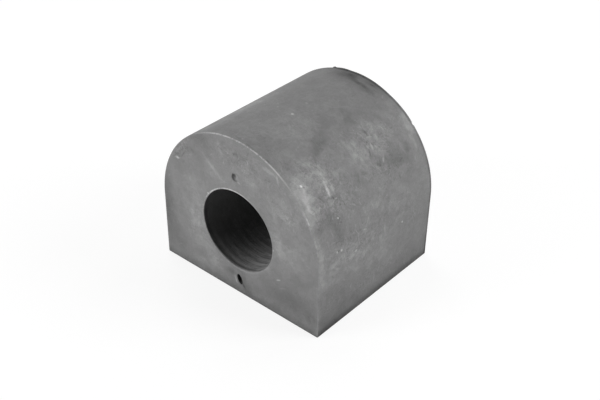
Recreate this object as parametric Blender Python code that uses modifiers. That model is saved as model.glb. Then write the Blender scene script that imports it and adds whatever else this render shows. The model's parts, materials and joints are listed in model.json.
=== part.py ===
"""Sway bar bushing: one moulded rubber block with a half-round crown, a flat base and a bore.

Metres, +Z up. The sway bar runs along Y. The block rests on its base at Z = 0, with the origin under its
middle. The front end face, with the two mould pin marks, looks along -Y.
"""

import math

import bmesh
import bpy

# Block
WIDTH = 0.0700
LENGTH = 0.0603
CROWN_CENTRE_HEIGHT = 0.0258
BASE_CORNER_RADIUS = 0.0010
END_EDGE_RADIUS = 0.0004

# Bore, on the crown's centre
BORE_DIAMETER = 0.0302
BORE_LIP_RADIUS = 0.0006
RING_PITCH = 0.0030
RING_DEPTH = 0.00012
RING_SETBACK = 0.0018

# Mould pin marks on the front end face, above and below the bore: a dimple and a deep slit
PIN_MARK_FROM_AXIS = 0.0204
UPPER_MARK_WIDTH = 0.0024
UPPER_MARK_LENGTH = 0.0029
UPPER_MARK_DEPTH = 0.0008
UPPER_MARK_LEAN = math.radians(12)
UPPER_MARK_OFFSET = -0.0006
LOWER_MARK_WIDTH = 0.0017
LOWER_MARK_LENGTH = 0.0044
LOWER_MARK_DEPTH = 0.0022
LOWER_MARK_LEAN = math.radians(37)
LOWER_MARK_OFFSET = 0.0003

# Flash left by the mould on the crown, beside the back end face
FLASH_HEIGHT = 0.00028
FLASH_THICKNESS = 0.0008
FLASH_PLACE = math.radians(81)
FLASH_SPAN = math.radians(36)

# Trimmed vent nub and torn nick on the back rim, as angles round the crown from +X
NUB_RADIUS = 0.0008
NUB_HEIGHT = 0.0003
NUB_PLACE = math.radians(105)
NICK_RADIUS = 0.0009
NICK_DEPTH = 0.0003
NICK_PLACE = math.radians(44.5)

# Smoothness of the round shapes
CROWN_SEGMENTS = 96
CORNER_SEGMENTS = 4
EDGE_SEGMENTS = 3
BORE_SEGMENTS = 72
LIP_SEGMENTS = 4
FLASH_SEGMENTS = 128
BALL_SEGMENTS = 20

# How far a cutter reaches past the face that it cuts
CUTTER_REACH = 0.002
# How far the middle of a pin mark's cutter stands off the end face, so that no point of it lies in the face
MARK_STAND_OFF = 0.00005
# The lip's arc stops at this slope and runs on straight, so that it crosses the end face cleanly
LIP_ARC_END = math.radians(80)
# Points closer than this are one point
WELD_DISTANCE = 0.00001

CROWN_RADIUS = WIDTH / 2
BORE_RADIUS = BORE_DIAMETER / 2
FRONT_Y = -LENGTH / 2
BACK_Y = LENGTH / 2
BEVEL_ANGLE = math.radians(50)
ALONG_BAR = (math.radians(90), 0, 0)


def clear_scene():
    for obj in list(bpy.data.objects):
        bpy.data.objects.remove(obj, do_unlink=True)


def new_collection(name):
    collection = bpy.data.collections.new(name)
    bpy.context.scene.collection.children.link(collection)
    return collection


def rubber_material():
    """Plain grey filled rubber, matt with a slight bloom."""
    material = bpy.data.materials.new("grey_rubber")
    material.use_nodes = True
    shader = material.node_tree.nodes["Principled BSDF"]
    shader.inputs["Base Color"].default_value = (0.21, 0.21, 0.208, 1)
    shader.inputs["Roughness"].default_value = 0.72
    shader.inputs["Metallic"].default_value = 0.0
    return material


def mesh_object(name, mesh, collection):
    mesh.shade_smooth()
    obj = bpy.data.objects.new(name, mesh)
    collection.objects.link(obj)
    return obj


def as_tool(obj):
    """A helper shape that a Boolean uses, and that no render shows."""
    obj.hide_render = True
    obj.display_type = "WIRE"
    return obj


def on_crown(angle, radius, y):
    """A point at an angle round the crown's centre line, from +X towards +Z."""
    return (radius * math.cos(angle), y, CROWN_CENTRE_HEIGHT + radius * math.sin(angle))


def arc(centre_x, centre_y, radius, start, end, segments):
    return [
        (
            centre_x + radius * math.cos(start + (end - start) * i / segments),
            centre_y + radius * math.sin(start + (end - start) * i / segments),
        )
        for i in range(segments + 1)
    ]


def block_outline():
    """The end view: right base corner, over the half-round crown, left base corner."""
    corner_x = WIDTH / 2 - BASE_CORNER_RADIUS
    quarter = math.pi / 2
    points = arc(corner_x, BASE_CORNER_RADIUS, BASE_CORNER_RADIUS, -quarter, 0, CORNER_SEGMENTS)
    points += arc(0, CROWN_CENTRE_HEIGHT, CROWN_RADIUS, 0, math.pi, CROWN_SEGMENTS)
    points += arc(-corner_x, BASE_CORNER_RADIUS, BASE_CORNER_RADIUS, math.pi, 3 * quarter, CORNER_SEGMENTS)
    return points


def make_block(collection):
    """The outline, extruded along the bar, with its two end rims rounded."""
    points = block_outline()
    curve = bpy.data.curves.new("block_outline", "CURVE")
    curve.dimensions = "2D"
    curve.fill_mode = "BOTH"
    curve.extrude = LENGTH / 2
    spline = curve.splines.new("POLY")
    spline.points.add(len(points) - 1)
    for point, (x, y) in zip(spline.points, points):
        point.co = (x, y, 0, 1)
    spline.use_cyclic_u = True
    guide = bpy.data.objects.new("block_outline", curve)
    guide.rotation_euler = ALONG_BAR
    collection.objects.link(guide)
    bpy.context.view_layer.update()

    evaluated = guide.evaluated_get(bpy.context.evaluated_depsgraph_get())
    mesh = bpy.data.meshes.new_from_object(evaluated)
    welded = bmesh.new()
    welded.from_mesh(mesh)
    bmesh.ops.remove_doubles(welded, verts=welded.verts, dist=WELD_DISTANCE)
    welded.to_mesh(mesh)
    welded.free()
    block = mesh_object("bushing_block", mesh, collection)
    block.matrix_world = guide.matrix_world
    bpy.data.objects.remove(guide)

    rims = block.modifiers.new("rounded_end_rims", "BEVEL")
    rims.width = END_EDGE_RADIUS
    rims.segments = EDGE_SEGMENTS
    rims.limit_method = "ANGLE"
    rims.angle_limit = BEVEL_ANGLE
    return block


def bore_profile():
    """Half section of the core pin as (radius, place along the bar), from one end to the other.

    It flares at both ends to leave rounded lips, and its shallow turned ridges leave the ring marks."""
    top = LENGTH / 2
    flare = arc(
        BORE_RADIUS + BORE_LIP_RADIUS, top - BORE_LIP_RADIUS, BORE_LIP_RADIUS,
        math.pi - LIP_ARC_END, math.pi, LIP_SEGMENTS,
    )
    outer_radius = flare[0][0] + CUTTER_REACH
    outer_place = flare[0][1] + CUTTER_REACH / math.tan(LIP_ARC_END)
    upper = [(0, outer_place), (outer_radius, outer_place)] + flare

    ringed = LENGTH / 2 - BORE_LIP_RADIUS - RING_SETBACK
    rings = int(2 * ringed / RING_PITCH)
    first_crest = (rings - 1) * RING_PITCH / 2
    ridges = []
    for i in range(rings):
        crest = first_crest - i * RING_PITCH
        ridges.append((BORE_RADIUS, crest + RING_PITCH / 2))
        ridges.append((BORE_RADIUS + RING_DEPTH, crest))
    ridges.append((BORE_RADIUS, -first_crest - RING_PITCH / 2))

    lower = [(radius, -place) for radius, place in reversed(upper)]
    return upper + ridges + lower


def make_core_pin(collection):
    """The turned pin that the bore is moulded round."""
    profile = bore_profile()
    mesh = bpy.data.meshes.new("core_pin")
    edges = [(i, i + 1) for i in range(len(profile) - 1)]
    mesh.from_pydata([(radius, 0, place) for radius, place in profile], edges, [])
    pin = bpy.data.objects.new("core_pin", mesh)
    collection.objects.link(pin)
    pin.location = (0, 0, CROWN_CENTRE_HEIGHT)
    pin.rotation_euler = ALONG_BAR

    turned = pin.modifiers.new("turned", "SCREW")
    turned.axis = "Z"
    turned.steps = BORE_SEGMENTS
    turned.render_steps = BORE_SEGMENTS
    turned.use_merge_vertices = True
    turned.merge_threshold = WELD_DISTANCE
    turned.use_smooth_shade = True
    return as_tool(pin)


def make_ball(name, size, location, collection, lean=0.0):
    """An ellipsoid with the half sizes given, turned about the Y axis by the lean."""
    ball = bmesh.new()
    bmesh.ops.create_uvsphere(ball, u_segments=BALL_SEGMENTS, v_segments=BALL_SEGMENTS // 2, radius=1)
    bmesh.ops.scale(ball, vec=size, verts=ball.verts)
    mesh = bpy.data.meshes.new(name)
    ball.to_mesh(mesh)
    ball.free()
    obj = mesh_object(name, mesh, collection)
    obj.location = location
    obj.rotation_euler = (0, lean, 0)
    return as_tool(obj)


def make_pin_mark(name, width, length, depth, x, z, lean, collection):
    """A steep-edged mark in the front end face, with an oval mouth of that width and length."""
    size = (width / 2, depth + MARK_STAND_OFF, length / 2)
    return make_ball(name, size, (x, FRONT_Y - MARK_STAND_OFF, z), collection, -lean)


def make_flash(collection):
    """A disc set off the crown's centre, so that a thin crescent of it stands proud.

    The crescent fades out at both ends."""
    tip = CROWN_RADIUS + FLASH_HEIGHT
    offset = (tip**2 - CROWN_RADIUS**2) / (2 * (tip - CROWN_RADIUS * math.cos(FLASH_SPAN / 2)))
    disc = bmesh.new()
    bmesh.ops.create_cone(
        disc, cap_ends=True, segments=FLASH_SEGMENTS,
        radius1=tip - offset, radius2=tip - offset, depth=FLASH_THICKNESS,
    )
    mesh = bpy.data.meshes.new("flash_disc")
    disc.to_mesh(mesh)
    disc.free()
    obj = mesh_object("flash_disc", mesh, collection)
    obj.location = on_crown(FLASH_PLACE, offset, BACK_Y - END_EDGE_RADIUS - FLASH_THICKNESS / 2)
    obj.rotation_euler = ALONG_BAR
    return as_tool(obj)


def add_boolean(obj, tool, operation):
    modifier = obj.modifiers.new(tool.name, "BOOLEAN")
    modifier.operation = operation
    modifier.object = tool
    modifier.solver = "EXACT"


def main():
    clear_scene()
    parts = new_collection("sway_bar_bushing")
    tools = new_collection("cutters")

    block = make_block(parts)
    block.data.materials.append(rubber_material())

    add_boolean(block, make_flash(tools), "UNION")
    nub = make_ball(
        "vent_nub", (NUB_RADIUS,) * 3,
        on_crown(NUB_PLACE, CROWN_RADIUS + NUB_HEIGHT - NUB_RADIUS, BACK_Y - NUB_RADIUS), tools,
    )
    add_boolean(block, nub, "UNION")
    add_boolean(block, make_core_pin(tools), "DIFFERENCE")
    upper_mark = make_pin_mark(
        "upper_pin_mark", UPPER_MARK_WIDTH, UPPER_MARK_LENGTH, UPPER_MARK_DEPTH,
        UPPER_MARK_OFFSET, CROWN_CENTRE_HEIGHT + PIN_MARK_FROM_AXIS, UPPER_MARK_LEAN, tools,
    )
    add_boolean(block, upper_mark, "DIFFERENCE")
    lower_mark = make_pin_mark(
        "lower_pin_mark", LOWER_MARK_WIDTH, LOWER_MARK_LENGTH, LOWER_MARK_DEPTH,
        LOWER_MARK_OFFSET, CROWN_CENTRE_HEIGHT - PIN_MARK_FROM_AXIS, LOWER_MARK_LEAN, tools,
    )
    add_boolean(block, lower_mark, "DIFFERENCE")
    nick = make_ball(
        "rim_nick", (NICK_RADIUS,) * 3,
        on_crown(NICK_PLACE, CROWN_RADIUS + NICK_RADIUS - NICK_DEPTH, BACK_Y), tools,
    )
    add_boolean(block, nick, "DIFFERENCE")

    normals = block.modifiers.new("weighted_normals", "WEIGHTED_NORMAL")
    normals.mode = "FACE_AREA"


main()
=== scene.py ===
"""Looks of the sway bar bushing: worn, dusty grey rubber on a plain white floor.

Metres, +Z up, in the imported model's own frame. The bore for the bar runs along Y, and the front end looks
along -Y. One fine closed skin of the same form draws the block, and also carries the small marks.
"""

import json
import math
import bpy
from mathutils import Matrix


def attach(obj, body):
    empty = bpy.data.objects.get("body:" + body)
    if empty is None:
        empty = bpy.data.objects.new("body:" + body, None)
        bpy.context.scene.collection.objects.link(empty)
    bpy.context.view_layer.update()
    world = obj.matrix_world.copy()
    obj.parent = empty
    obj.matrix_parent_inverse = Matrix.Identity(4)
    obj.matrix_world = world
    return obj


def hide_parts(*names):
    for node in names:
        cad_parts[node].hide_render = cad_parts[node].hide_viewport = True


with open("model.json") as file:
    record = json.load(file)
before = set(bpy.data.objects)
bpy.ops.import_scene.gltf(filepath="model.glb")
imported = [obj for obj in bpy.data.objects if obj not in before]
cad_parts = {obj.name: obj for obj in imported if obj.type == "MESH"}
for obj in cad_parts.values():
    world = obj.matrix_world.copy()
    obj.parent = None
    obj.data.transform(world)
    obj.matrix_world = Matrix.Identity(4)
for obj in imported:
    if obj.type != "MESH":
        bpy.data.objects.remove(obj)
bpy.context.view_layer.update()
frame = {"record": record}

from types import SimpleNamespace

import bmesh
import bpy
from mathutils import Matrix, Vector

MM = 0.001

# The block, as the frame gives it
BLOCK = "bushing_block"
MOUNTS = {mount["name"]: mount["pos_m"] for mount in frame["record"]["mounts"]}
HALF_WIDTH = MOUNTS["right_side"][0]
AXIS_HEIGHT = MOUNTS["front_end"][2]
FRONT_Y = MOUNTS["front_end"][1]
BACK_Y = MOUNTS["back_end"][1]

# Its other sizes. The base's corner radius stays above the end edges', or the end faces fold over there.
BORE_RADIUS = 15.1 * MM
LIP_RADIUS = 0.6 * MM
END_EDGE_RADIUS = 0.4 * MM
BASE_CORNER_RADIUS = 0.5 * MM
RING_PITCH = 3.0 * MM
RING_DEPTH = 0.12 * MM
RING_SETBACK = 1.8 * MM

# The front lip is worn soft at the lower right and stays nearly sharp on the other side, and the rings and
# the dust and painted light in the bore are strongest at the lower right too: place round the axis, how
# closely the wear keeps to it, and what share of the lip's radius and of the rings is left on the other side
WORN_BORE_PLACE = math.radians(-52)
WORN_BORE_POWER = 2
SHARP_LIP_SHARE = 0.25
FAINT_RING_SHARE = 0.15
WORN_LIP_RADIUS = 0.8 * MM
# The bore's mouth is also worn a little wide at the left: place, how closely this keeps to it, how far out,
# and how deep
WIDE_MOUTH_PLACE = math.radians(-165)
WIDE_MOUTH_POWER = 3
WIDE_MOUTH_GROWTH = 0.6 * MM
WIDE_MOUTH_DEPTH = 7 * MM

# Flash on the crown beside the back end: its thickness along Y, over how far it rises out of the wall, and
# the middle, half span and height of each stretch
FLASH_THICKNESS = 0.8 * MM
FLASH_RISE = 0.25 * MM
FLASHES = (
    (math.radians(81), math.radians(18), 0.279 * MM),
    (math.radians(99), math.radians(8), 0.30 * MM),
    (math.radians(54), math.radians(14), 0.18 * MM),
)

# Vent nub and torn nick on the back rim: place round the crown, half width, and height or depth
RIM_BUMPS = (
    (math.radians(105.5), 1.1 * MM, 0.35 * MM),
    (math.radians(44.5), 0.9 * MM, -0.3 * MM),
)
# Above 1, the middle of such a bump is flat
BUMP_FULLNESS = 1.4

# Mould pin marks on the front end, above and below the bore: middle, half sizes, lean and depth
UPPER_MARK = {
    "x": -0.4 * MM, "z": 46.5 * MM, "along": 1.35 * MM, "across": 1.5 * MM,
    "lean": 0.0, "depth": 0.9 * MM,
}
LOWER_MARK = {
    "x": 0.4 * MM, "z": 6.3 * MM, "along": 1.7 * MM, "across": 0.68 * MM,
    "lean": math.radians(21), "depth": 2.2 * MM,
}
# The skin is finer this far round a mark, by this many cuts of each edge
MARK_MARGIN = 0.8 * MM
MARK_CUTS = 4
# How squarely a point's normal faces the axis or the front, where the point takes the rings or the pin marks
FACING = 0.9

# Camera, fitted to the outline of the object in the photograph
CAMERA_PLACE = Vector((187.06, -218.52, 221.97)) * MM
CAMERA_AIM = Vector((4.28, -3.86, 26.75)) * MM
CAMERA_ROLL = math.radians(0.873)
LENS_MM = 60.36
SENSOR_MM = 36.0


def make_camera():
    data = bpy.data.cameras.new("photo_camera")
    data.lens = LENS_MM
    data.sensor_width = SENSOR_MM
    data.clip_start = 0.01
    data.clip_end = 20.0
    camera = bpy.data.objects.new("photo_camera", data)
    bpy.context.scene.collection.objects.link(camera)
    level = (CAMERA_AIM - CAMERA_PLACE).to_track_quat("-Z", "Y").to_matrix().to_4x4()
    camera.matrix_world = Matrix.Translation(CAMERA_PLACE) @ level @ Matrix.Rotation(CAMERA_ROLL, 4, "Z")
    bpy.context.scene.camera = camera


# The skin is a grid. Its spokes go round the outline. Its stations go out over the front end, back along the
# wall, in over the back end and forward through the bore.

BASE_SPOKES = 50
CORNER_SPOKES = 4
SIDE_SPOKES = 38
CROWN_SPOKES = 180
END_STATIONS = 34
EDGE_STATIONS = 4
WALL_STATIONS = 60
LIP_STATIONS = 4
NEAR_BORE_STATIONS = 56
FAR_BORE_STATIONS = 34
NEAR_BORE_DEPTH = 25 * MM
# Share of even spacing that the wall gives up, so that its stations crowd towards the rims
RIM_CROWDING = 0.85
# How far past the front lip the bore's first station is
MOUTH_STEP = 0.15 * MM


def steps(start, end, count):
    """count places from start towards end, which is left to what comes next."""
    return [start + (end - start) * i / count for i in range(count)]


def outline():
    """The end view as (x, z, outward x, outward z), from the middle of the base round past +X."""
    corner_x = HALF_WIDTH - BASE_CORNER_RADIUS
    half = [(x, 0.0, 0.0, -1.0) for x in steps(0, corner_x, BASE_SPOKES // 2)]
    for angle in steps(-math.pi / 2, 0, CORNER_SPOKES):
        across, up = math.cos(angle), math.sin(angle)
        half.append((corner_x + BASE_CORNER_RADIUS * across, BASE_CORNER_RADIUS * (1 + up), across, up))
    half += [(HALF_WIDTH, z, 1.0, 0.0) for z in steps(BASE_CORNER_RADIUS, AXIS_HEIGHT, SIDE_SPOKES)]
    for angle in steps(0, math.pi / 2, CROWN_SPOKES // 2):
        across, up = math.cos(angle), math.sin(angle)
        half.append((HALF_WIDTH * across, AXIS_HEIGHT + HALF_WIDTH * up, across, up))
    top = (0.0, AXIS_HEIGHT + HALF_WIDTH, 0.0, 1.0)
    return half + [top] + [(-x, z, -across, up) for x, z, across, up in reversed(half[1:])]


def wall_places():
    """Places along the bar on the outer wall, closest together at its two rims."""
    low, high = FRONT_Y + END_EDGE_RADIUS, BACK_Y - END_EDGE_RADIUS
    found = []
    for share in steps(0, 1, WALL_STATIONS):
        crowded = share - RIM_CROWDING * math.sin(2 * math.pi * share) / (2 * math.pi)
        found.append(low + (high - low) * crowded)
    return found


def stations():
    """(part, value) for each station.

    The value is a share from lip to rim on an end, a turn on an edge, how far past the lip on the mouth, and
    a place along Y elsewhere.
    """
    quarter = math.pi / 2
    deep = FRONT_Y + NEAR_BORE_DEPTH
    found = [("front", share) for share in steps(0, 1, END_STATIONS)]
    found += [("front_rim", turn) for turn in steps(0, quarter, EDGE_STATIONS)]
    found += [("wall", y) for y in wall_places()]
    found += [("back_rim", turn) for turn in steps(quarter, 0, EDGE_STATIONS)]
    found += [("back", share) for share in steps(1, 0, END_STATIONS // 2)]
    found += [("back_lip", turn) for turn in steps(0, quarter, LIP_STATIONS)]
    found += [("bore", y) for y in steps(BACK_Y - LIP_RADIUS, deep, FAR_BORE_STATIONS)]
    found += [("bore", y) for y in steps(deep, FRONT_Y + WORN_LIP_RADIUS + MOUTH_STEP, NEAR_BORE_STATIONS)]
    found += [("mouth", MOUTH_STEP)]
    found += [("front_lip", turn) for turn in steps(quarter, 0, LIP_STATIONS)]
    return found


def toward(spread, place, power):
    """1 where a direction round the axis points at a place, falling evenly to 0 on the other side."""
    return ((1 + spread.x * math.cos(place) + spread.z * math.sin(place)) / 2) ** power


def worn_share(spread, least):
    """1 at the worn lower right of the bore, falling to the least share on the other side."""
    return least + (1 - least) * toward(spread, WORN_BORE_PLACE, WORN_BORE_POWER)


def bore_radius(spread, depth):
    """The bore's radius at a depth behind its front lip."""
    fade = 1 - smooth(depth / WIDE_MOUTH_DEPTH)
    return BORE_RADIUS + WIDE_MOUTH_GROWTH * toward(spread, WIDE_MOUTH_PLACE, WIDE_MOUTH_POWER) * fade


def bare_point(spoke, station):
    """Where a spoke and a station meet on the plain form, before any mark."""
    x, z, across, up = spoke
    part, value = station
    if part == "wall":
        return Vector((x, value, z))
    axis = Vector((0, 0, AXIS_HEIGHT))
    spread = Vector((x, 0, z - AXIS_HEIGHT)).normalized()
    front = part.startswith("front")
    lip_radius, radius = LIP_RADIUS, BORE_RADIUS
    if front or part == "mouth":
        lip_radius = WORN_LIP_RADIUS * worn_share(spread, SHARP_LIP_SHARE)
        radius = bore_radius(spread, 0.0)
    if part == "mouth":
        return axis + spread * radius + Vector((0, FRONT_Y + lip_radius + value, 0))
    if part == "bore":
        return axis + spread * bore_radius(spread, value - FRONT_Y - LIP_RADIUS) + Vector((0, value, 0))
    end_out = Vector((0, -1 if front else 1, 0))
    end = Vector((0, FRONT_Y if front else BACK_Y, 0))
    outward = Vector((across, 0, up))
    lip = axis + spread * (radius + lip_radius)
    rim = Vector((x, 0, z)) - outward * END_EDGE_RADIUS
    if part.endswith("rim"):
        return rim + end + END_EDGE_RADIUS * (outward * math.sin(value) + end_out * (math.cos(value) - 1))
    if part.endswith("lip"):
        return lip + end + lip_radius * (end_out * (math.cos(value) - 1) - spread * math.sin(value))
    return lip.lerp(rim, value) + end


def bare_skin():
    """The plain form as one closed mesh of four-sided faces."""
    spokes, places = outline(), stations()
    points = [bare_point(spoke, place) for spoke in spokes for place in places]
    row = len(places)
    faces = []
    for i in range(len(spokes)):
        this, after = i * row, (i + 1) % len(spokes) * row
        for j in range(row):
            along = (j + 1) % row
            faces.append((this + j, this + along, after + along, after + j))
    mesh = bpy.data.meshes.new("rubber_skin")
    mesh.from_pydata(points, [], faces)
    return mesh


def smooth(value):
    """0 below 0, 1 above 1 and an even S between."""
    value = min(max(value, 0.0), 1.0)
    return value * value * (3 - 2 * value)


def crown_angle(point):
    return math.atan2(point.z - AXIS_HEIGHT, point.x)


def refine_near(shape, mark):
    """Splits the front end's faces round a pin mark into smaller ones."""
    middle = Vector((mark["x"], FRONT_Y, mark["z"]))
    reach = mark["along"] + MARK_MARGIN
    near = [face for face in shape.faces if (face.calc_center_median() - middle).length < reach]
    edges = dict.fromkeys(edge for face in near for edge in face.edges)
    bmesh.ops.subdivide_edges(shape, edges=list(edges), cuts=MARK_CUTS, use_grid_fill=True)


def pin_mark_depth(point, mark):
    """How deep a pin mark is at a point of the front end: half of an ellipsoid."""
    x, z = point.x - mark["x"], point.z - mark["z"]
    cos, sin = math.cos(mark["lean"]), math.sin(mark["lean"])
    along = (z * cos - x * sin) / mark["along"]
    across = (x * cos + z * sin) / mark["across"]
    return mark["depth"] * math.sqrt(max(0.0, 1 - along ** 2 - across ** 2))


def ring_depth(y, spread):
    """How far the bore's wall stands back there, from the shallow rings that the core pin left."""
    if min(y - FRONT_Y, BACK_Y - y) < RING_SETBACK:
        return 0.0
    place = y / RING_PITCH % 1.0
    return RING_DEPTH * worn_share(spread, FAINT_RING_SHARE) * (1 - abs(2 * place - 1))


def back_rim_relief(point):
    """How far the flash and the nub stand out beside the back end, less the nick."""
    if point.z < AXIS_HEIGHT or point.y < BACK_Y - 2 * FLASH_THICKNESS:
        return 0.0
    angle = crown_angle(point)
    edge = smooth((point.y - BACK_Y + FLASH_THICKNESS) / FLASH_RISE + 0.5)
    relief = max(height * edge * max(0.0, 1 - ((angle - place) / half_span) ** 2)
                 for place, half_span, height in FLASHES)
    for place, half_width, height in RIM_BUMPS:
        away = math.hypot((angle - place) * HALF_WIDTH, point.y - BACK_Y) / half_width
        relief += height * smooth(BUMP_FULLNESS * (1 - away))
    return relief


def shape_marks(verts):
    """Moves the bare skin's points by the moulded marks and the wear."""
    for vert in verts:
        point, outward = vert.co.copy(), vert.normal
        spread = Vector((point.x, 0, point.z - AXIS_HEIGHT))
        from_axis = spread.length
        spread.normalize()
        if from_axis < BORE_RADIUS + WIDE_MOUTH_GROWTH and outward.dot(spread) < -FACING:
            vert.co += spread * ring_depth(point.y, spread)
        elif outward.y < -FACING:
            vert.co.y += max(pin_mark_depth(point, UPPER_MARK), pin_mark_depth(point, LOWER_MARK))
        else:
            vert.co += spread * back_rim_relief(point)


def make_skin(material):
    mesh = bare_skin()
    shape = bmesh.new()
    shape.from_mesh(mesh)
    refine_near(shape, UPPER_MARK)
    refine_near(shape, LOWER_MARK)
    shape.normal_update()
    shape_marks(shape.verts)
    shape.to_mesh(mesh)
    shape.free()
    mesh.shade_smooth()
    mesh.materials.append(material)
    skin = bpy.data.objects.new("rubber_skin", mesh)
    bpy.context.scene.collection.objects.link(skin)
    return skin


# Places on the surface, given in millimetres and degrees: each is a point in metres and the way out there

def on_crown(angle, y):
    """Angle round the crown from +X, place along the bar from the middle."""
    turn = math.radians(angle)
    outward = Vector((math.cos(turn), 0, math.sin(turn)))
    return Vector((0, y * MM, AXIS_HEIGHT)) + outward * HALF_WIDTH, outward


def on_side(z, y):
    """Height, and place along the bar, on the side towards +X."""
    return Vector((HALF_WIDTH, y * MM, z * MM)), Vector((1, 0, 0))


def on_far_side(z, y):
    return Vector((-HALF_WIDTH, y * MM, z * MM)), Vector((-1, 0, 0))


def on_front(x, z):
    return Vector((x * MM, FRONT_Y, z * MM)), Vector((0, -1, 0))


def on_back(x, z):
    return Vector((x * MM, BACK_Y, z * MM)), Vector((0, 1, 0))


# Broad cloudy patches: from, to, half width in mm, and how much paler the rubber is there, or darker
WALL_PATCHES = (
    # Bloom beside the front shoulder, and lighter clouds over the crown; the two long bands near 120 degrees
    # are painted sheen
    (on_crown(52, -30), on_crown(28, -30), 5.0, 0.46),
    (on_crown(52, -25), on_crown(31, -26), 4.4, 0.72),
    (on_crown(47, -19), on_crown(37, -17), 4.4, 0.46),
    (on_crown(56, -24), on_crown(52, -14), 4.4, 0.34),
    (on_crown(88, -22), on_crown(72, -2), 13.0, 0.18),
    (on_crown(70, -26), on_crown(62, -20), 5.0, 0.12),
    (on_crown(50, -22), on_crown(50, 22), 10.0, 0.07),
    (on_crown(86, 2), on_crown(76, 10), 8.0, 0.08),
    (on_crown(118, -29), on_crown(117, 12), 7.0, 0.42),
    (on_crown(122, -28), on_crown(122, 28), 4.0, 0.26),
    (on_crown(114, -2), on_crown(114, 10), 4.0, 0.16),
    (on_crown(108, -16), on_crown(106, 4), 6.0, 0.10),
    (on_crown(56, 9), on_crown(47, 17), 5.5, 0.30),
    (on_crown(52, -2), on_crown(41, 2), 5.0, 0.38),
    (on_crown(57, 28), on_crown(42, 28.6), 4.0, 0.36),
    (on_crown(20, 0), on_crown(12, 2), 4.5, 0.26),
    (on_crown(14, 6), on_crown(12, 14), 4.0, 0.16),
    # Lighter haze on the shoulder and the side, with painted light making the side paler high up
    (on_crown(6, -26), on_side(22, -3), 5.0, 0.22),
    (on_crown(28, -29.5), on_crown(4, -29.5), 3.4, 0.34),
    (on_crown(4, -30), on_side(17, -28), 5.0, 0.26),
    (on_crown(20, -3), on_crown(4, -10), 4.5, 0.34),
    (on_side(20, -20), on_side(16, 4), 6.0, 0.18),
    (on_crown(0, 2), on_side(14, 8), 7.0, 0.18),
    (on_crown(53, -21), on_crown(37, -15), 5.0, 0.14),
    # Lighter and darker clouds on the far side
    (on_crown(138, -24), on_crown(152, -14), 7.0, 0.24),
    (on_crown(146, 12), on_crown(160, 22), 6.0, 0.26),
    (on_crown(170, -6), on_far_side(18, 6), 7.0, 0.20),
    (on_crown(158, 0), on_crown(166, 10), 5.0, -0.26),
    (on_far_side(3, -28), on_far_side(4, 24), 7.0, -0.26),
    # Stain beside the back rim, and darker clouds
    (on_crown(104, 31), on_crown(80, 31), 6.0, -0.56),
    (on_crown(102, 26), on_crown(80, 25), 5.0, -0.34),
    (on_crown(79, 27), on_crown(64, 29), 4.0, -0.28),
    (on_crown(59, -14), on_crown(65, -6), 4.0, -0.38),
    (on_crown(66, -5), on_crown(74, 2), 4.0, -0.22),
    (on_crown(63, 6), on_crown(70, 11), 3.4, -0.26),
    (on_crown(37, 9), on_crown(29, 23), 4.6, -0.46),
    (on_crown(36, -8), on_crown(32, -1), 3.2, -0.16),
    (on_crown(30, -22), on_crown(14, -19), 5.0, -0.30),
    (on_side(24, 28), on_side(8, 28), 6.0, -0.12),
    # Painted shade low on the side, darker towards the base
    (on_side(14, -22), on_side(8, -14), 5.0, -0.18),
    (on_side(3, -33), on_side(4, -14), 7.5, -0.22),
    (on_side(2, -14), on_side(2, 22), 5.0, -0.14),
    (on_side(6, 29), on_side(2, 31), 5.5, -0.20),
)
END_PATCHES = (
    # Pale beside and above the bore, darker at the corners, and painted shade along the base
    (on_front(-20, 37), on_front(-19, 13), 7.0, 0.32),
    (on_front(-21, 24), on_front(-19, 16), 5.0, 0.18),
    (on_front(-16, 14), on_front(-9, 5), 6.0, 0.32),
    (on_front(14, 37), on_front(18, 26), 4.5, 0.26),
    (on_front(18, 42), on_front(27, 37), 5.5, 0.10),
    (on_front(17, 26), on_front(27, 31), 6.0, 0.22),
    (on_front(20, 20), on_front(29, 25), 5.0, 0.16),
    (on_front(17, 48), on_front(20, 40), 6.0, 0.28),
    (on_front(24, 50), on_front(30, 42), 3.0, 0.14),
    (on_front(0, 50), on_front(14, 48), 4.5, 0.20),
    (on_front(-13, 48), on_front(-7, 43), 3.2, 0.10),
    (on_front(-36, 40), on_front(-36, 0), 9.0, -0.46),
    (on_front(-20, 5), on_front(-15, 3), 4.0, 0.18),
    (on_front(-30, 14), on_front(-27, 4), 5.0, -0.18),
    (on_front(-22, 56), on_front(-12, 54), 6.0, -0.30),
    (on_front(-26, 46), on_front(-28, 38), 5.0, -0.16),
    (on_front(-21, 50), on_front(-16, 47), 3.5, -0.16),
    (on_front(21, 14), on_front(36, 26), 5.0, -0.14),
    (on_front(12, 9), on_front(36, 10), 7.0, -0.26),
    (on_front(0, 9), on_front(5, 2), 4.0, -0.24),
    # Clouds on the back end
    (on_back(20, 36), on_back(22, 16), 7.0, 0.26),
    (on_back(-8, 50), on_back(-20, 42), 5.0, 0.20),
    (on_back(-24, 20), on_back(-30, 8), 6.0, -0.22),
    (on_back(4, 4), on_back(30, 3), 6.0, -0.22),
)

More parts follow.
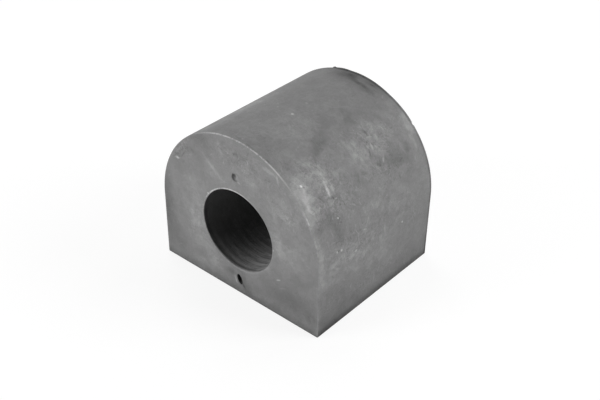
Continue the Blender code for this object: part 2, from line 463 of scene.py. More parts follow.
# Scuffed stretches, where the fine texture is strong: from, to, half width in mm, and how strong
SCUFFS = (
    (on_crown(54, -28), on_crown(44, -8), 9.0, 0.9),
    (on_crown(54, 0), on_crown(46, 22), 9.0, 1.1),
    (on_crown(34, -27), on_crown(30, -8), 10.0, 1.3),
    (on_crown(34, 0), on_crown(30, 20), 9.0, 0.9),
    (on_crown(12, -26), on_side(24, 2), 10.0, 1.0),
    (on_crown(14, 4), on_side(22, 22), 9.0, 0.5),
    (on_side(12, -26), on_side(6, 20), 8.0, 0.6),
    (on_front(-10, 53), on_front(14, 53), 8.0, 0.9),
    (on_front(-30, 46), on_front(-22, 50), 6.0, 1.3),
    (on_crown(140, -20), on_crown(156, -4), 9.0, 1.0),
    (on_crown(150, 16), on_crown(172, 8), 9.0, 0.9),
    (on_far_side(14, -20), on_far_side(8, 18), 9.0, 0.7),
    (on_back(-20, 46), on_back(16, 50), 9.0, 0.8),
    (on_back(24, 22), on_back(18, 10), 7.0, 0.7),
)

# Wear along the rims, with a thin line on the front rim and the bore's lip that is also painted highlight,
# by the angle round the bore's axis from +X: (degrees, strength) in order
FRONT_RIM_WEAR_AND_HIGHLIGHT = (
    (-37, 0.22), (-12, 0.24), (0, 0.30), (10, 0.22), (20, 0.75), (28, 0.90), (34, 0.60), (38, 0.18),
    (46, 0.20), (49, 0.34), (56, 0.42), (62, 0.78), (95, 0.95), (104, 0.70), (116, 0.25), (135, 0.0),
)
FRONT_RIM_HAZE = (
    (-37, 0.12), (0, 0.10), (18, 0.12), (27, 0.42), (36, 0.20), (52, 0.08), (70, 0.0), (120, 0.0),
)
BORE_LIP_WEAR_AND_HIGHLIGHT = (
    (-150, 0.14), (-120, 0.14), (-60, 0.05), (40, 0.05), (66, 0.30), (88, 0.85), (118, 1.0), (146, 0.95),
    (156, 0.25), (178, 0.12),
)

# Painted shade towards the base and along the back edge: which edge, far and near reach in mm, and how much
# darker on the wall and on the ends
PAINTED_EDGE_SHADE = (
    ("base", 13.0, 2.0, -0.14, -0.08), ("base", 4.0, 0.8, -0.42, -0.18), ("base", 1.1, 0.3, -0.26, -0.22),
    ("back", 1.7, 0.5, -0.46, -0.20),
)

# Random hair scratches: size of the cell that holds one, half length, half width in mm, and their strength
SCRATCHES = ((3.4, 1.7, 0.26, 0.40), (2.2, 0.8, 0.24, 0.34), (5.5, 2.8, 0.30, 0.30))

# Marks with ragged edges: from, to, half width in mm, and how much paler the rubber is there, or darker
STROKES = (
    # Solid bloom on the shoulder, and the soft band that runs down from it and across the side
    (on_crown(56, -27), on_crown(50, -26), 2.6, 0.34),
    (on_crown(48.5, -29), on_crown(43.5, -28.4), 2, 0.26),
    (on_crown(45.4, -26.4), on_crown(42.4, -26.8), 1.6, 0.24),
    (on_crown(42.4, -27.6), on_crown(37, -27.4), 2.2, 0.34),
    (on_crown(39.4, -28.4), on_crown(33.6, -28.6), 1.6, 0.34),
    (on_crown(33.4, -27.4), on_crown(29.4, -27.6), 1.8, 0.20),
    (on_crown(34, -28.8), on_crown(25, -28.6), 1.6, 0.16),
    (on_crown(30.8, -24.6), on_crown(28.4, -23.4), 1.6, 0.18),
    (on_crown(53, -23), on_crown(46, -20.4), 2.4, 0.20),
    (on_crown(10, -28.6), on_side(25, -27.6), 2.2, 0.10),
    (on_side(26.4, -26), on_side(25.2, -19.6), 1.6, 0.30),
    (on_side(23.6, -25.6), on_side(22.4, -19.4), 1.8, 0.20),
    (on_crown(30.6, -4.6), on_crown(27.6, -3.4), 1.6, 0.14),
    (on_side(24.8, -19), on_side(22.6, -1), 1.8, 0.18),
    (on_side(20, -24), on_side(18, -18), 2.2, 0.16),
    # Darker spots in the bloom and lighter ones beside it
    (on_crown(44.4, -28), on_crown(41, -28.4), 1.6, -0.10),
    (on_crown(40.4, -28.7), on_crown(36.4, -29.1), 1.4, -0.40),
    (on_crown(49.6, -19), on_crown(48.4, -17.8), 2.6, 0.18),
    (on_crown(35.4, -17.6), on_crown(34, -16.4), 2.4, 0.12),
    # Lighter and darker wisps over the crown
    (on_crown(78.4, -14.2), on_crown(76.4, -12.8), 3, -0.15),
    (on_crown(77, 23.6), on_crown(74, 24.6), 2.4, -0.20),
    (on_crown(103, 15), on_crown(100, 17), 4, -0.12),
    (on_crown(37, 22), on_crown(35, 22.4), 2.6, -0.32),
    (on_crown(59.6, 20), on_crown(58, 21), 3, 0.12),
    (on_crown(23, -6.4), on_crown(21, -4.8), 2.4, -0.12),
    (on_crown(70, -26), on_crown(63, -27.6), 2.6, 0.14),
    (on_crown(80, -7), on_crown(73, -4), 2.4, 0.11),
    (on_crown(65, -13.6), on_crown(62.4, -11), 1.6, 0.18),
    (on_crown(49.6, -12.6), on_crown(41, -12), 2, 0.14),
    (on_crown(55.6, -0.6), on_crown(50, 1.4), 2, 0.18),
    (on_crown(45.6, 6.6), on_crown(37.4, 12.6), 1.8, 0.28),
    (on_crown(57, 15), on_crown(52, 18), 2.4, 0.12),
    (on_crown(40, -3.4), on_crown(35, -4.2), 1.6, -0.22),
    (on_crown(31, 8), on_crown(28, 15), 2.6, -0.14),
    # Stain beside the back rim
    (on_crown(99, 25.6), on_crown(90, 26.4), 2.6, -0.18),
    (on_crown(91.6, 27.8), on_crown(86.6, 27.4), 2, -0.20),
    (on_crown(88.6, 26), on_crown(82.2, 25), 1.5, -0.26),
    (on_crown(83, 25), on_crown(76.6, 25.2), 1.5, -0.36),
    (on_crown(80, 28), on_crown(74, 28.6), 2.2, -0.22),
    (on_crown(77.4, 27.6), on_crown(74.4, 28.5), 0.60, -0.20),
    # Wisps lower down, and a few more higher up
    (on_crown(26.4, 2.6), on_crown(21.4, 4.6), 1.6, 0.12),
    (on_crown(18, 7), on_crown(13.4, 5), 1.6, -0.14),
    (on_crown(15, 14.6), on_crown(11, 19), 2, 0.10),
    (on_crown(7, 6), on_crown(4, 10.6), 1.8, -0.10),
    (on_crown(22, 9), on_crown(19, 14), 1.8, 0.12),
    (on_crown(19, 17), on_crown(16, 22), 2, -0.10),
    (on_crown(10, 12), on_crown(7, 17), 1.8, 0.10),
    (on_crown(24, 18), on_crown(21, 23), 2, -0.10),
    (on_crown(12, 2), on_crown(9, 5), 1.6, -0.12),
    (on_crown(57, 17), on_crown(42, 17), 2.6, 0.12),
    (on_crown(76, 24.5), on_crown(68, 25.5), 2.6, -0.12),
    # Painted sheen: a light streak along the left of the crown, where it turns away
    (on_crown(121, -29), on_crown(118, -24), 2.5, 0.22),
    (on_crown(121, -20), on_crown(121, 20), 2.2, 0.09),
    (on_crown(120, 23), on_crown(121, 29), 2.5, 0.15),
    # Wisps on the side
    (on_crown(6, -6), on_side(25.6, -2), 3, 0.10),
    (on_side(24, -24.6), on_side(19, -23), 2.2, 0.12),
    (on_side(17, 20), on_side(13, 20), 3, -0.09),
    (on_side(7, -14), on_side(4, -7), 3.4, -0.09),
    (on_crown(5, -16.8), on_side(23.6, -15.4), 1.8, -0.20),
    (on_side(26, -8.4), on_side(25.2, -2.4), 2, 0.14),
    # Long scratch on the crown and its fainter neighbours
    (on_crown(46.4, -16.9), on_crown(40, -17.5), 0.60, 0.40),
    (on_crown(42.4, -17.4), on_crown(35.8, -17.9), 0.80, 1.25),
    (on_crown(42.6, -15), on_crown(36, -15.8), 0.95, 0.44),
    (on_crown(35.6, -19.6), on_crown(34.8, -15.6), 0.80, -0.34),
    (on_crown(49.4, -20.2), on_crown(46.6, -20.2), 0.45, 0.20),
    (on_crown(39, -22.6), on_crown(38, -19.6), 0.60, -0.22),
    # Bloom beside the back rim
    (on_crown(40, 25.6), on_crown(36.6, 26.4), 1.2, 0.30),
    (on_crown(36, 26.6), on_crown(31, 26.2), 1, 0.28),
    (on_crown(28.6, 24.8), on_crown(25.6, 24), 1.2, 0.20),
    # Scribbles between the clouds
    (on_crown(48.4, 8.3), on_crown(44.2, 7.8), 0.60, 0.76),
    (on_crown(56.2, 9.2), on_crown(52.2, 9.4), 0.75, -0.50),
    (on_crown(47.8, 6.2), on_crown(46.4, 6.4), 0.60, 0.56),
    (on_crown(45.8, 9.4), on_crown(44.4, 9.7), 0.60, 0.50),
    (on_crown(41.8, 10.2), on_crown(39, 13.8), 0.38, 0.30),
    (on_crown(45.2, 6.2), on_crown(42, 5.4), 0.65, -0.46),
    (on_crown(36.8, 6.4), on_crown(34.8, 7.4), 0.90, -0.40),
    (on_crown(38, 10.2), on_crown(35.6, 9.4), 0.65, 0.80),
    (on_crown(42.6, 13.2), on_crown(41.4, 13.6), 0.70, 0.30),
    (on_crown(38.4, 8.2), on_crown(33.6, 7.4), 0.60, -0.24),
    (on_crown(32.6, 5.2), on_crown(30, 6.2), 0.50, 0.22),
    (on_crown(49.8, -2.4), on_crown(46.4, 0.4), 0.60, 0.22),
    (on_crown(45, 1), on_crown(41, 1.6), 0.75, 0.24),
    (on_crown(37.6, -2.2), on_crown(35.4, 0.6), 0.80, -0.26),
    (on_crown(32.6, -8.6), on_crown(29.8, -5.4), 0.55, 0.20),
    # Short marks on the shoulder and the side
    (on_crown(13, -11.5), on_crown(15.4, -11.4), 0.42, 0.26),
    (on_crown(13.2, -17), on_crown(10.2, -16.6), 0.42, 0.24),
    (on_crown(10.8, -13.9), on_crown(7.6, -13.5), 0.40, 0.20),
    (on_crown(6.6, 3.3), on_side(22.8, 3.5), 0.40, 0.36),
    (on_crown(3.8, -6.2), on_crown(1.2, -6.1), 0.40, 0.24),
    (on_crown(20.6, -2.2), on_crown(17, -1.4), 0.45, 0.26),
    (on_crown(26.8, -10.6), on_crown(23, -8.6), 0.50, 0.22),
    (on_crown(21.6, -17.9), on_crown(20.8, -16.8), 0.42, -0.30),
    (on_crown(7.4, -20.9), on_crown(6.2, -20.3), 0.42, -0.34),
    (on_side(25.6, -24.2), on_side(23.2, -20.2), 0.50, 0.22),
    (on_side(24.2, -22.8), on_side(22.2, -18.8), 0.50, 0.20),
    (on_side(22.6, -24.6), on_side(20.4, -22.4), 0.60, -0.16),
    # Smudges beside the front rim
    (on_crown(93, -28.2), on_crown(88.6, -28.8), 0.45, -0.30),
    (on_crown(84.6, -29.1), on_crown(78.6, -29.4), 0.40, -0.26),
    (on_crown(69.6, -29.5), on_crown(66.6, -29.4), 0.40, -0.34),
    # Streaks, scuffs and chips on the front end
    (on_front(-15.6, 50.4), on_front(-11, 46.6), 0.75, 0.14),
    (on_front(-12, 47.6), on_front(-7.8, 44.2), 1.40, 0.14),
    (on_front(-12.4, 47.7), on_front(-9.4, 45.4), 0.80, 0.20),
    (on_front(-8.8, 44.8), on_front(-5.6, 42.4), 0.70, 0.14),
    (on_front(-7.8, 58), on_front(-6, 51.8), 0.85, 0.22),
    (on_front(10.4, 55.8), on_front(16.8, 54.8), 1.20, 0.42),
    (on_front(17.2, 55.2), on_front(18, 52), 0.75, 0.50),
    (on_front(16.8, 56.4), on_front(20.4, 53.8), 0.40, 0.22),
    (on_front(-27.6, 44.6), on_front(-24.2, 49.6), 0.45, 0.26),
    (on_front(-28.2, 42.9), on_front(-25.6, 43.5), 0.60, 0.60),
    (on_front(-25.4, 43.6), on_front(-22.6, 47.8), 0.40, -0.20),
    (on_front(-29.4, 42.4), on_front(-25.8, 45.6), 0.40, -0.16),
    (on_front(17.2, 14.6), on_front(19, 15.4), 0.42, 0.80),
    (on_front(17.6, 11.2), on_front(21.6, 13.4), 0.45, 0.14),
    (on_front(12.6, 20.6), on_front(28, 33.6), 0.90, 0.10),
    # Soft clouds on the front end
    (on_front(-12.6, 49.6), on_front(-11, 48.6), 2.4, -0.14),
    (on_front(-10.6, 58), on_front(-9.6, 58.2), 2.4, -0.11),
    (on_front(-21.5, 48.2), on_front(-20.3, 48.8), 2.6, -0.09),
    (on_front(2.4, 52.6), on_front(3.8, 52.2), 2.4, -0.14),
    (on_front(7.8, 46.8), on_front(9, 45.8), 2.2, 0.13),
    (on_front(28, 21), on_front(30, 22), 3, 0.10),
    (on_front(33.6, 8), on_front(34.2, 5), 1.8, -0.14),
    (on_front(-4.2, 7.8), on_front(-2.4, 7.4), 2, -0.30),
    # Round the upper pin mark: painted shade on its upper edges and a painted highlight on its lower one
    (on_front(-1.6, 47.6), on_front(-1, 45.8), 0.75, -0.60),
    (on_front(-1.4, 47.7), on_front(0.3, 47.5), 0.65, -0.60),
    (on_front(0.7, 45.6), on_front(1.6, 45), 0.60, 0.46),
    # Round the slit, which is the lower one: its pale lip, its dark tail and the shade above it
    (on_front(-1.8, 7), on_front(-1, 3.9), 0.65, 0.44),
    (on_front(-1.1, 4.9), on_front(-0.8, 3.9), 0.45, 0.50),
    (on_front(1.7, 4.8), on_front(2.8, 3.4), 0.80, -0.34),
    (on_front(-3.6, 10.2), on_front(4.4, 9.6), 1.30, -0.14),
    # Soft light beside the bore's mouth, and shade near the base
    (on_front(16.6, 41), on_front(18.6, 27), 2.6, 0.12),
    (on_front(-13.4, 39.4), on_front(-16.4, 33), 2, 0.10),
    (on_front(27, 39), on_front(32, 37), 3, 0.10),
    (on_front(17, 47), on_front(20, 45.6), 2.4, 0.14),
    (on_front(17.6, 27), on_front(23, 25), 2.6, 0.12),
    (on_front(12.8, 19), on_front(13.4, 16.6), 1.8, 0.12),
    (on_front(31, 8), on_front(33, 4), 3, -0.14),
    (on_front(7, 7.4), on_front(10, 4.6), 2.6, -0.11),
)

# Pale specks, and the painted shadows beside some of them: place, half width in mm, and how much paler, or
# darker
SPECKS_AND_SHADOWS = (
    (on_crown(48.2, -25.9), 0.56, 2),
    (on_crown(47, -25.2), 0.50, -0.70),
    (on_crown(47.8, -26.9), 0.40, -0.40),
    (on_crown(88, -28.1), 0.36, 0.40),
    (on_crown(86, -6.2), 0.62, 1.00),
    (on_crown(97.1, -5.6), 0.50, 0.35),
    (on_crown(87.9, 2.3), 0.60, 0.40),
    (on_crown(24.1, -18.1), 0.52, 1.30),
    (on_crown(6.2, -19.2), 0.55, 1.50),
    (on_crown(6.8, -21.4), 0.42, 1.00),
    (on_crown(6.9, -20.3), 0.50, -0.60),
    (on_crown(58.4, 8.9), 0.70, 0.20),
    (on_side(25.3, -11.8), 0.60, 0.90),
    (on_side(23.2, 13.4), 0.55, 1.10),
    (on_side(21.2, 17.4), 0.42, 0.28),
    (on_front(-26.9, 43.1), 0.70, 0.60),
    (on_front(-24.2, 49.3), 0.60, 0.30),
    (on_front(-13.1, 35), 0.60, 1.30),
    (on_front(15.9, 26), 0.42, 0.90),
    (on_front(17.2, 27), 0.40, 0.24),
    (on_front(18.2, 25.6), 0.40, 0.20),
)

# Painted shade that fills the deep slit: from, to, half width in mm, and how much of the light it takes
SLIT_PAINTED_SHADE = ((on_front(0.2, 6.9), on_front(0.9, 5), 1.20, 0.97),)

RUBBER_GREY = 0.223
DARKEST_GREY = 0.008
# How much paler the wall is than the ends, and where along Y its look gives way to theirs
WALL_PALER = 0.08
END_FADE = (BACK_Y - 0.3 * MM, BACK_Y - 0.05 * MM)

# Noise that shades: size of its features, detail, roughness and distortion
CLOUDS = (11 * MM, 3.0, 0.75, 0.3)
MOTTLE = (2.6 * MM, 3.5, 0.9, 0.5)
GRAIN = (0.7 * MM, 2.0, 0.7, 0.0)
TURNED_LINES = (0.55 * MM, 1.5, 0.6, 0.0)
# Noise that moves what is drawn, for ragged edges: size, detail and roughness, and how far it moves what
WIDE_PUSH = (6 * MM, 5.0, 0.7)
PATCH_PUSH = 11 * MM
SCRATCH_PUSH = 3 * MM
FINE_PUSH = (0.9 * MM, 2.0, 0.6)
STROKE_PUSH = 0.7 * MM

# How strongly noise breaks up the patches, clouds the whole skin and marks the scuffed stretches
PATCH_BREAKUP = 2.6
CLOUD_STRENGTH = 0.45
MOTTLE_STRENGTH = 1.3
GRAIN_STRENGTH = 0.45
# How scuffed the skin is between those stretches
LEAST_SCUFF = 0.45
# A scratch's own strength, from dark to pale: low and high chance, and the strength at each
SCRATCH_SHADES = (0.1, 1.0, -0.7, 1.0)

# Share of a mark's half width over which it fades out
PATCH_SOFTNESS = 1.0
STROKE_SOFTNESS = 0.8
SPECK_SOFTNESS = 0.6
SLIT_SHADE_SOFTNESS = 0.2
# How far any mark reaches through the skin, at least
MARK_REACH = 4 * MM

# Bands beside the front rim and the bore's lip: how far off each begins, and how far off it is full
RIM_HAZE_BAND = (1.3 * MM, 0.3 * MM)
RIM_LINE_BAND = (0.40 * MM, 0.20 * MM)
LIP_LINE_BAND = (0.65 * MM, 0.35 * MM)
# Noise breaks up the worn line of wear and painted highlight: low and high noise, and the share of the line
# that is left at each
LINE_BREAKUP = (-0.16, 0.10, 0.25, 1.0)
WORN_HIGHLIGHT_LINE_STRENGTH = 2.0

# The bore's share of the rubber's grey where it is worn and dusty, with painted light, and on the other
# side, where painted shade darkens it
WORN_LIT_BORE_SHARE = 1.12
SHADED_FAR_BORE_SHARE = 0.33
# Deep in the bore: what the worn side has over the other one, the other side's share, and from where to where
# behind the front end the look changes
DEEP_BORE_CHANGE = 0.32
DEEP_SHADED_FAR_BORE_SHARE = 0.43
BORE_FADE = (5 * MM, 15 * MM)
# How nearly a direction round the axis points at the worn place, from 0 to 1, where dust and painted light
# begin and are full
DUST_AND_LIGHT_REACH = (0.4, 1.0)
# The same for the palest strip of the dust and painted light, and what that strip gains
PALEST_REACH = (0.975, 1.0)
PALEST_BORE_CHANGE = 0.15
# Fringe of dust behind the lip: its place, how nearly a direction points there, far and near depth, and gain
DUST_FRINGE_PLACE = math.radians(-122)
FRINGE_REACH = (0.9, 1.0)
FRINGE_FADE = (4 * MM, 2 * MM)
DUST_FRINGE_CHANGE = 0.30
# Fine turned lines: how far their noise moves on in a degree, their strength, and what dust and painted light
# add to it
LINE_DRIFT = 0.02 * MM
LINE_STRENGTH = 0.3
DUSTY_LIT_LINE_GAIN = 1.3
# Dark ring behind the lip: its depth, how far off it begins and is full, and the share of grey that it keeps
FIRST_RING_DEPTH = 1.1 * MM
FIRST_RING_BAND = (0.7 * MM, 0.2 * MM)
FIRST_RING_SHARE = 0.76
# How much further in the ends' grey goes at the worn place, as painted light just behind the lip, from where
# to where behind a lip the bore's look begins, and how far from the axis it ends
LIP_GREY_DEPTH = 0.7 * MM
MOUTH_FADE = (0.15 * MM, 0.45 * MM)
BORE_EDGE = (BORE_RADIUS + 1.4 * MM, BORE_RADIUS + MM)

# Roughness by tone: low and high tone, and the roughness at each; and the roughness of the slit's painted
# shade and of the bore
TONE_ROUGHNESS = (0.6, 1.5, 0.48, 0.75)
DULL_ROUGHNESS = 0.9
# Bump: how much more the mottle counts than the grain, and the height of one unit
MOTTLE_HEIGHT = 2.0
BUMP_HEIGHT = 0.05 * MM


class Shading:
    """Short calls that add shader nodes to one material."""

    def __init__(self, material):
        self.tree = material.node_tree

    def add(self, kind, inputs=(), **settings):
        """A node with its settings, and its inputs linked or set, in order; None leaves one as it is."""
        node = self.tree.nodes.new("ShaderNode" + kind)
        for name, value in settings.items():
            setattr(node, name, value)
        for socket, value in zip(node.inputs, inputs):
            if isinstance(value, bpy.types.NodeSocket):
                self.tree.links.new(value, socket)
            elif value is not None:
                socket.default_value = value
        return node

    def maths(self, operation, *values):
        return self.add("Math", values, operation=operation).outputs[0]

    def vectors(self, operation, *values, out="Vector"):
        return self.add("VectorMath", values, operation=operation).outputs[out]

    def mix(self, share, low, high):
        """low where the share is 0, high where it is 1."""
        return self.add("Mix", (share, None, low, high)).outputs[0]

    def span(self, across, along):
        """The straight distance over two steps at right angles."""
        return self.vectors("LENGTH", self.add("CombineXYZ", (across, along)).outputs[0], out="Value")

    def toward(self, where, place, power):
        """1 where a direction round the axis points at a place, falling evenly to 0 on the other side."""
        point = self.add("CombineXYZ", (where.x, where.up)).outputs[0]
        reach = self.vectors("DOT_PRODUCT", point, (math.cos(place), math.sin(place), 0), out="Value")
        share = self.maths("MULTIPLY_ADD", self.maths("DIVIDE", reach, where.from_axis), 0.5, 0.5)
        return self.maths("POWER", share, power)

    def remap(self, value, low, high, to_low=0.0, to_high=1.0):
        """An even S from to_low, at low, to to_high, at high."""
        values = (value, low, high, to_low, to_high)
        return self.add("MapRange", values, interpolation_type="SMOOTHSTEP", clamp=False).outputs[0]

    def noise(self, place, size, detail, roughness, distortion):
        """Cloudy noise from about -0.5 to 0.5, with features of about that size in metres."""
        values = (place, None, 1 / size, detail, roughness, None, None, None, distortion)
        return self.maths("SUBTRACT", self.add("TexNoise", values).outputs[0], 0.5)

    def push(self, place, size, detail, roughness):
        """Three such noises in one, as a direction to move in."""
        noise = self.add("TexNoise", (place, None, 1 / size, detail, roughness)).outputs["Color"]
        return self.vectors("SUBTRACT", noise, (0.5, 0.5, 0.5))

    def pushed(self, place, push, reach):
        """A place moved along a push, by up to about half the reach."""
        return self.vectors("MULTIPLY_ADD", push, (reach, reach, reach), place)

    def near(self, place, mark_from, mark_to, half_width, soft):
        """1 in the middle of a stretched round mark, 0 outside it."""
        (start, out_from), (end, out_to) = mark_from, mark_to
        middle, along, outward = (start + end) / 2, end - start, (out_from + out_to).normalized()
        half_length = along.length / 2 + half_width
        side = outward.cross(along).normalized()
        along = side.cross(outward)
        turn = Matrix((along, side, outward)).transposed().to_euler()
        shrink = Vector((1 / half_length, 1 / half_width, 1 / max(2 * half_length, MARK_REACH)))
        inputs = (place, middle, None, None, turn)
        turned = self.add("VectorRotate", inputs, rotation_type="EULER_XYZ", invert=True).outputs[0]
        local = self.vectors("MULTIPLY_ADD", turned, shrink, Vector([-a * b for a, b in zip(middle, shrink)]))
        away = self.vectors("LENGTH", local, out="Value")
        return self.remap(away, 1.0, 1.0 - soft)

    def speck(self, place, mark, half_width, soft):
        """1 in the middle of a round mark, 0 outside it."""
        away = self.vectors("DISTANCE", place, mark[0], out="Value")
        return self.remap(away, half_width, half_width * (1.0 - soft))

    def blend(self, place, marks, soft, total=0.0):
        """The strengths of many marks added to a total."""
        for mark_from, mark_to, half_width, strength in marks:
            mask = self.near(place, mark_from, mark_to, half_width * MM, soft)
            total = self.maths("MULTIPLY_ADD", mask, strength, total)
        return total

    def scratches(self, place, cell, half_length, half_width):
        """One short scratch across each cell of a plane, each turned its own way, some pale and some dark."""
        cells = self.add("TexVoronoi", (place, None, 1 / cell), voronoi_dimensions="2D")
        chance = self.add("SeparateXYZ", (cells.outputs["Color"],)).outputs
        local = self.vectors("SUBTRACT", place, cells.outputs["Position"])
        turned = self.add("VectorRotate", (local, None, None, self.maths("MULTIPLY", chance[0], math.pi)),
                          rotation_type="Z_AXIS").outputs[0]
        along, across, _ = self.add("SeparateXYZ", (self.vectors("ABSOLUTE", turned),)).outputs
        thin, short = self.remap(across, half_width, 0.0), self.remap(along, half_length, 0.0)
        inside = self.maths("MULTIPLY", thin, short)
        return self.maths("MULTIPLY", inside, self.remap(chance[1], *SCRATCH_SHADES))

    def profile(self, value, points):
        """A strength that follows a value through (value, strength) points."""
        low, high = points[0][0], points[-1][0]
        ramp = self.add("ValToRGB", (self.maths("DIVIDE", self.maths("SUBTRACT", value, low), high - low),))
        stops = ramp.color_ramp.elements
        for spot, (at, strength) in enumerate(points):
            share = (at - low) / (high - low)
            # A new ramp has two stops already
            stop = stops[spot] if spot < 2 else stops.new(share)
            stop.position = share
            stop.color = (strength, strength, strength, 1)
        return ramp.outputs["Color"]


def find_where(nodes, place):
    """Distances from the axis, the ends, the rims, the lip and the base, and the angle round the axis."""
    where = SimpleNamespace()
    where.x, where.y, where.z = nodes.add("SeparateXYZ", (place,)).outputs
    where.up = nodes.maths("SUBTRACT", where.z, AXIS_HEIGHT)
    where.angle = nodes.maths("DEGREES", nodes.maths("ARCTAN2", where.up, where.x))
    where.from_axis = nodes.span(where.x, where.up)
    from_middle = nodes.span(where.x, nodes.maths("MAXIMUM", where.up, 0.0))
    in_from_outline = nodes.maths("SUBTRACT", HALF_WIDTH, from_middle)
    where.behind_front = nodes.maths("SUBTRACT", where.y, FRONT_Y)
    where.rim_gap = nodes.span(in_from_outline, where.behind_front)
    where.before_back = nodes.maths("SUBTRACT", BACK_Y, where.y)
    where.gaps = {"base": where.z, "back": nodes.span(in_from_outline, where.before_back)}
    toward_wide = nodes.toward(where, WIDE_MOUTH_PLACE, WIDE_MOUTH_POWER)
    mouth_radius = nodes.maths("MULTIPLY_ADD", toward_wide, WIDE_MOUTH_GROWTH, BORE_RADIUS)
    where.lip_gap = nodes.span(nodes.maths("SUBTRACT", where.from_axis, mouth_radius), where.behind_front)
    where.on_end = nodes.remap(nodes.maths("ABSOLUTE", where.y), *END_FADE)
    return where


def lay_flat(nodes, where):
    """Flat places along the surface: round the wall and along it, or across an end and up it."""
    round_wall = nodes.maths("MULTIPLY", nodes.maths("ARCTAN2", where.x, where.up), HALF_WIDTH)
    on_wall = nodes.add("CombineXYZ", (round_wall, where.y)).outputs[0]
    across_end = nodes.add("CombineXYZ", (where.x, where.z)).outputs[0]
    inputs = (where.on_end, None, None, None, on_wall, across_end)
    return nodes.add("Mix", inputs, data_type="VECTOR").outputs[1]


def wear_and_highlight_front(nodes, where, clouds, mottle, tone):
    """The tone with the front rim and the bore's lip worn pale in a haze, and with a thin broken line on them
    that is wear and painted highlight.
    """
    haze = nodes.remap(where.rim_gap, *RIM_HAZE_BAND)
    tone = nodes.maths("MULTIPLY_ADD", haze, nodes.profile(where.angle, FRONT_RIM_HAZE), tone)
    ragged = nodes.remap(nodes.maths("ADD", mottle, clouds), *LINE_BREAKUP)
    rim = nodes.remap(where.rim_gap, *RIM_LINE_BAND)
    rim = nodes.maths("MULTIPLY", rim, nodes.profile(where.angle, FRONT_RIM_WEAR_AND_HIGHLIGHT))
    lip = nodes.remap(where.lip_gap, *LIP_LINE_BAND)
    lip = nodes.maths("MULTIPLY", lip, nodes.profile(where.angle, BORE_LIP_WEAR_AND_HIGHLIGHT))
    worn_and_highlight = nodes.maths("MULTIPLY", nodes.maths("MAXIMUM", rim, lip), ragged)
    return nodes.maths("MULTIPLY_ADD", worn_and_highlight, WORN_HIGHLIGHT_LINE_STRENGTH, tone)


def shade_bore(nodes, where):
    """The share of the rubber's grey that shows, 1 outside the bore, and 1 inside the bore and 0 outside.
    Inside, painted shade darkens the far side, and dust with painted light makes the lower right paler.
    """
    drift = nodes.maths("MULTIPLY", where.angle, LINE_DRIFT)
    line_place = nodes.add("CombineXYZ", (where.y, drift)).outputs[0]
    lines = nodes.noise(line_place, *TURNED_LINES)

    # Dust and painted light at the lower right, over painted shade on the far side, with the palest strip and
    # the fringe behind the lip
    toward_worn = nodes.toward(where, WORN_BORE_PLACE, 1)
    dust_and_light = nodes.remap(toward_worn, *DUST_AND_LIGHT_REACH)
    change = WORN_LIT_BORE_SHARE - SHADED_FAR_BORE_SHARE
    dust_and_light_change = nodes.remap(where.behind_front, *BORE_FADE, change, DEEP_BORE_CHANGE)
    shaded_far_share = nodes.remap(where.behind_front, *BORE_FADE, SHADED_FAR_BORE_SHARE, DEEP_SHADED_FAR_BORE_SHARE)
    bore = nodes.maths("MULTIPLY_ADD", dust_and_light, dust_and_light_change, shaded_far_share)
    palest = nodes.remap(toward_worn, *PALEST_REACH)
    bore = nodes.maths("MULTIPLY_ADD", palest, PALEST_BORE_CHANGE, bore)
    fringe = nodes.remap(nodes.toward(where, DUST_FRINGE_PLACE, 1), *FRINGE_REACH)
    fringe = nodes.maths("MULTIPLY", fringe, nodes.remap(where.behind_front, *FRINGE_FADE))
    bore = nodes.maths("MULTIPLY_ADD", fringe, DUST_FRINGE_CHANGE, bore)

    # Turned lines, where dust and painted light show them, and the dark first ring
    lined = nodes.maths("MULTIPLY", lines, nodes.maths("MULTIPLY_ADD", dust_and_light, DUSTY_LIT_LINE_GAIN, LINE_STRENGTH))
    from_ring = nodes.maths("ABSOLUTE", nodes.maths("SUBTRACT", where.behind_front, FIRST_RING_DEPTH))
    first_ring = nodes.remap(from_ring, *FIRST_RING_BAND, 1.0, FIRST_RING_SHARE)
    lined = nodes.maths("MULTIPLY", nodes.maths("ADD", lined, 1.0), first_ring)
    bore = nodes.maths("MULTIPLY", bore, lined)

    depth = nodes.maths("MINIMUM", where.behind_front, where.before_back)
    depth = nodes.maths("MULTIPLY_ADD", dust_and_light, -LIP_GREY_DEPTH, depth)
    past_mouth = nodes.remap(depth, *MOUTH_FADE)
    near_bore = nodes.remap(where.from_axis, *BORE_EDGE)
    in_bore = nodes.maths("MULTIPLY", past_mouth, near_bore)
    return nodes.mix(in_bore, 1.0, bore), in_bore


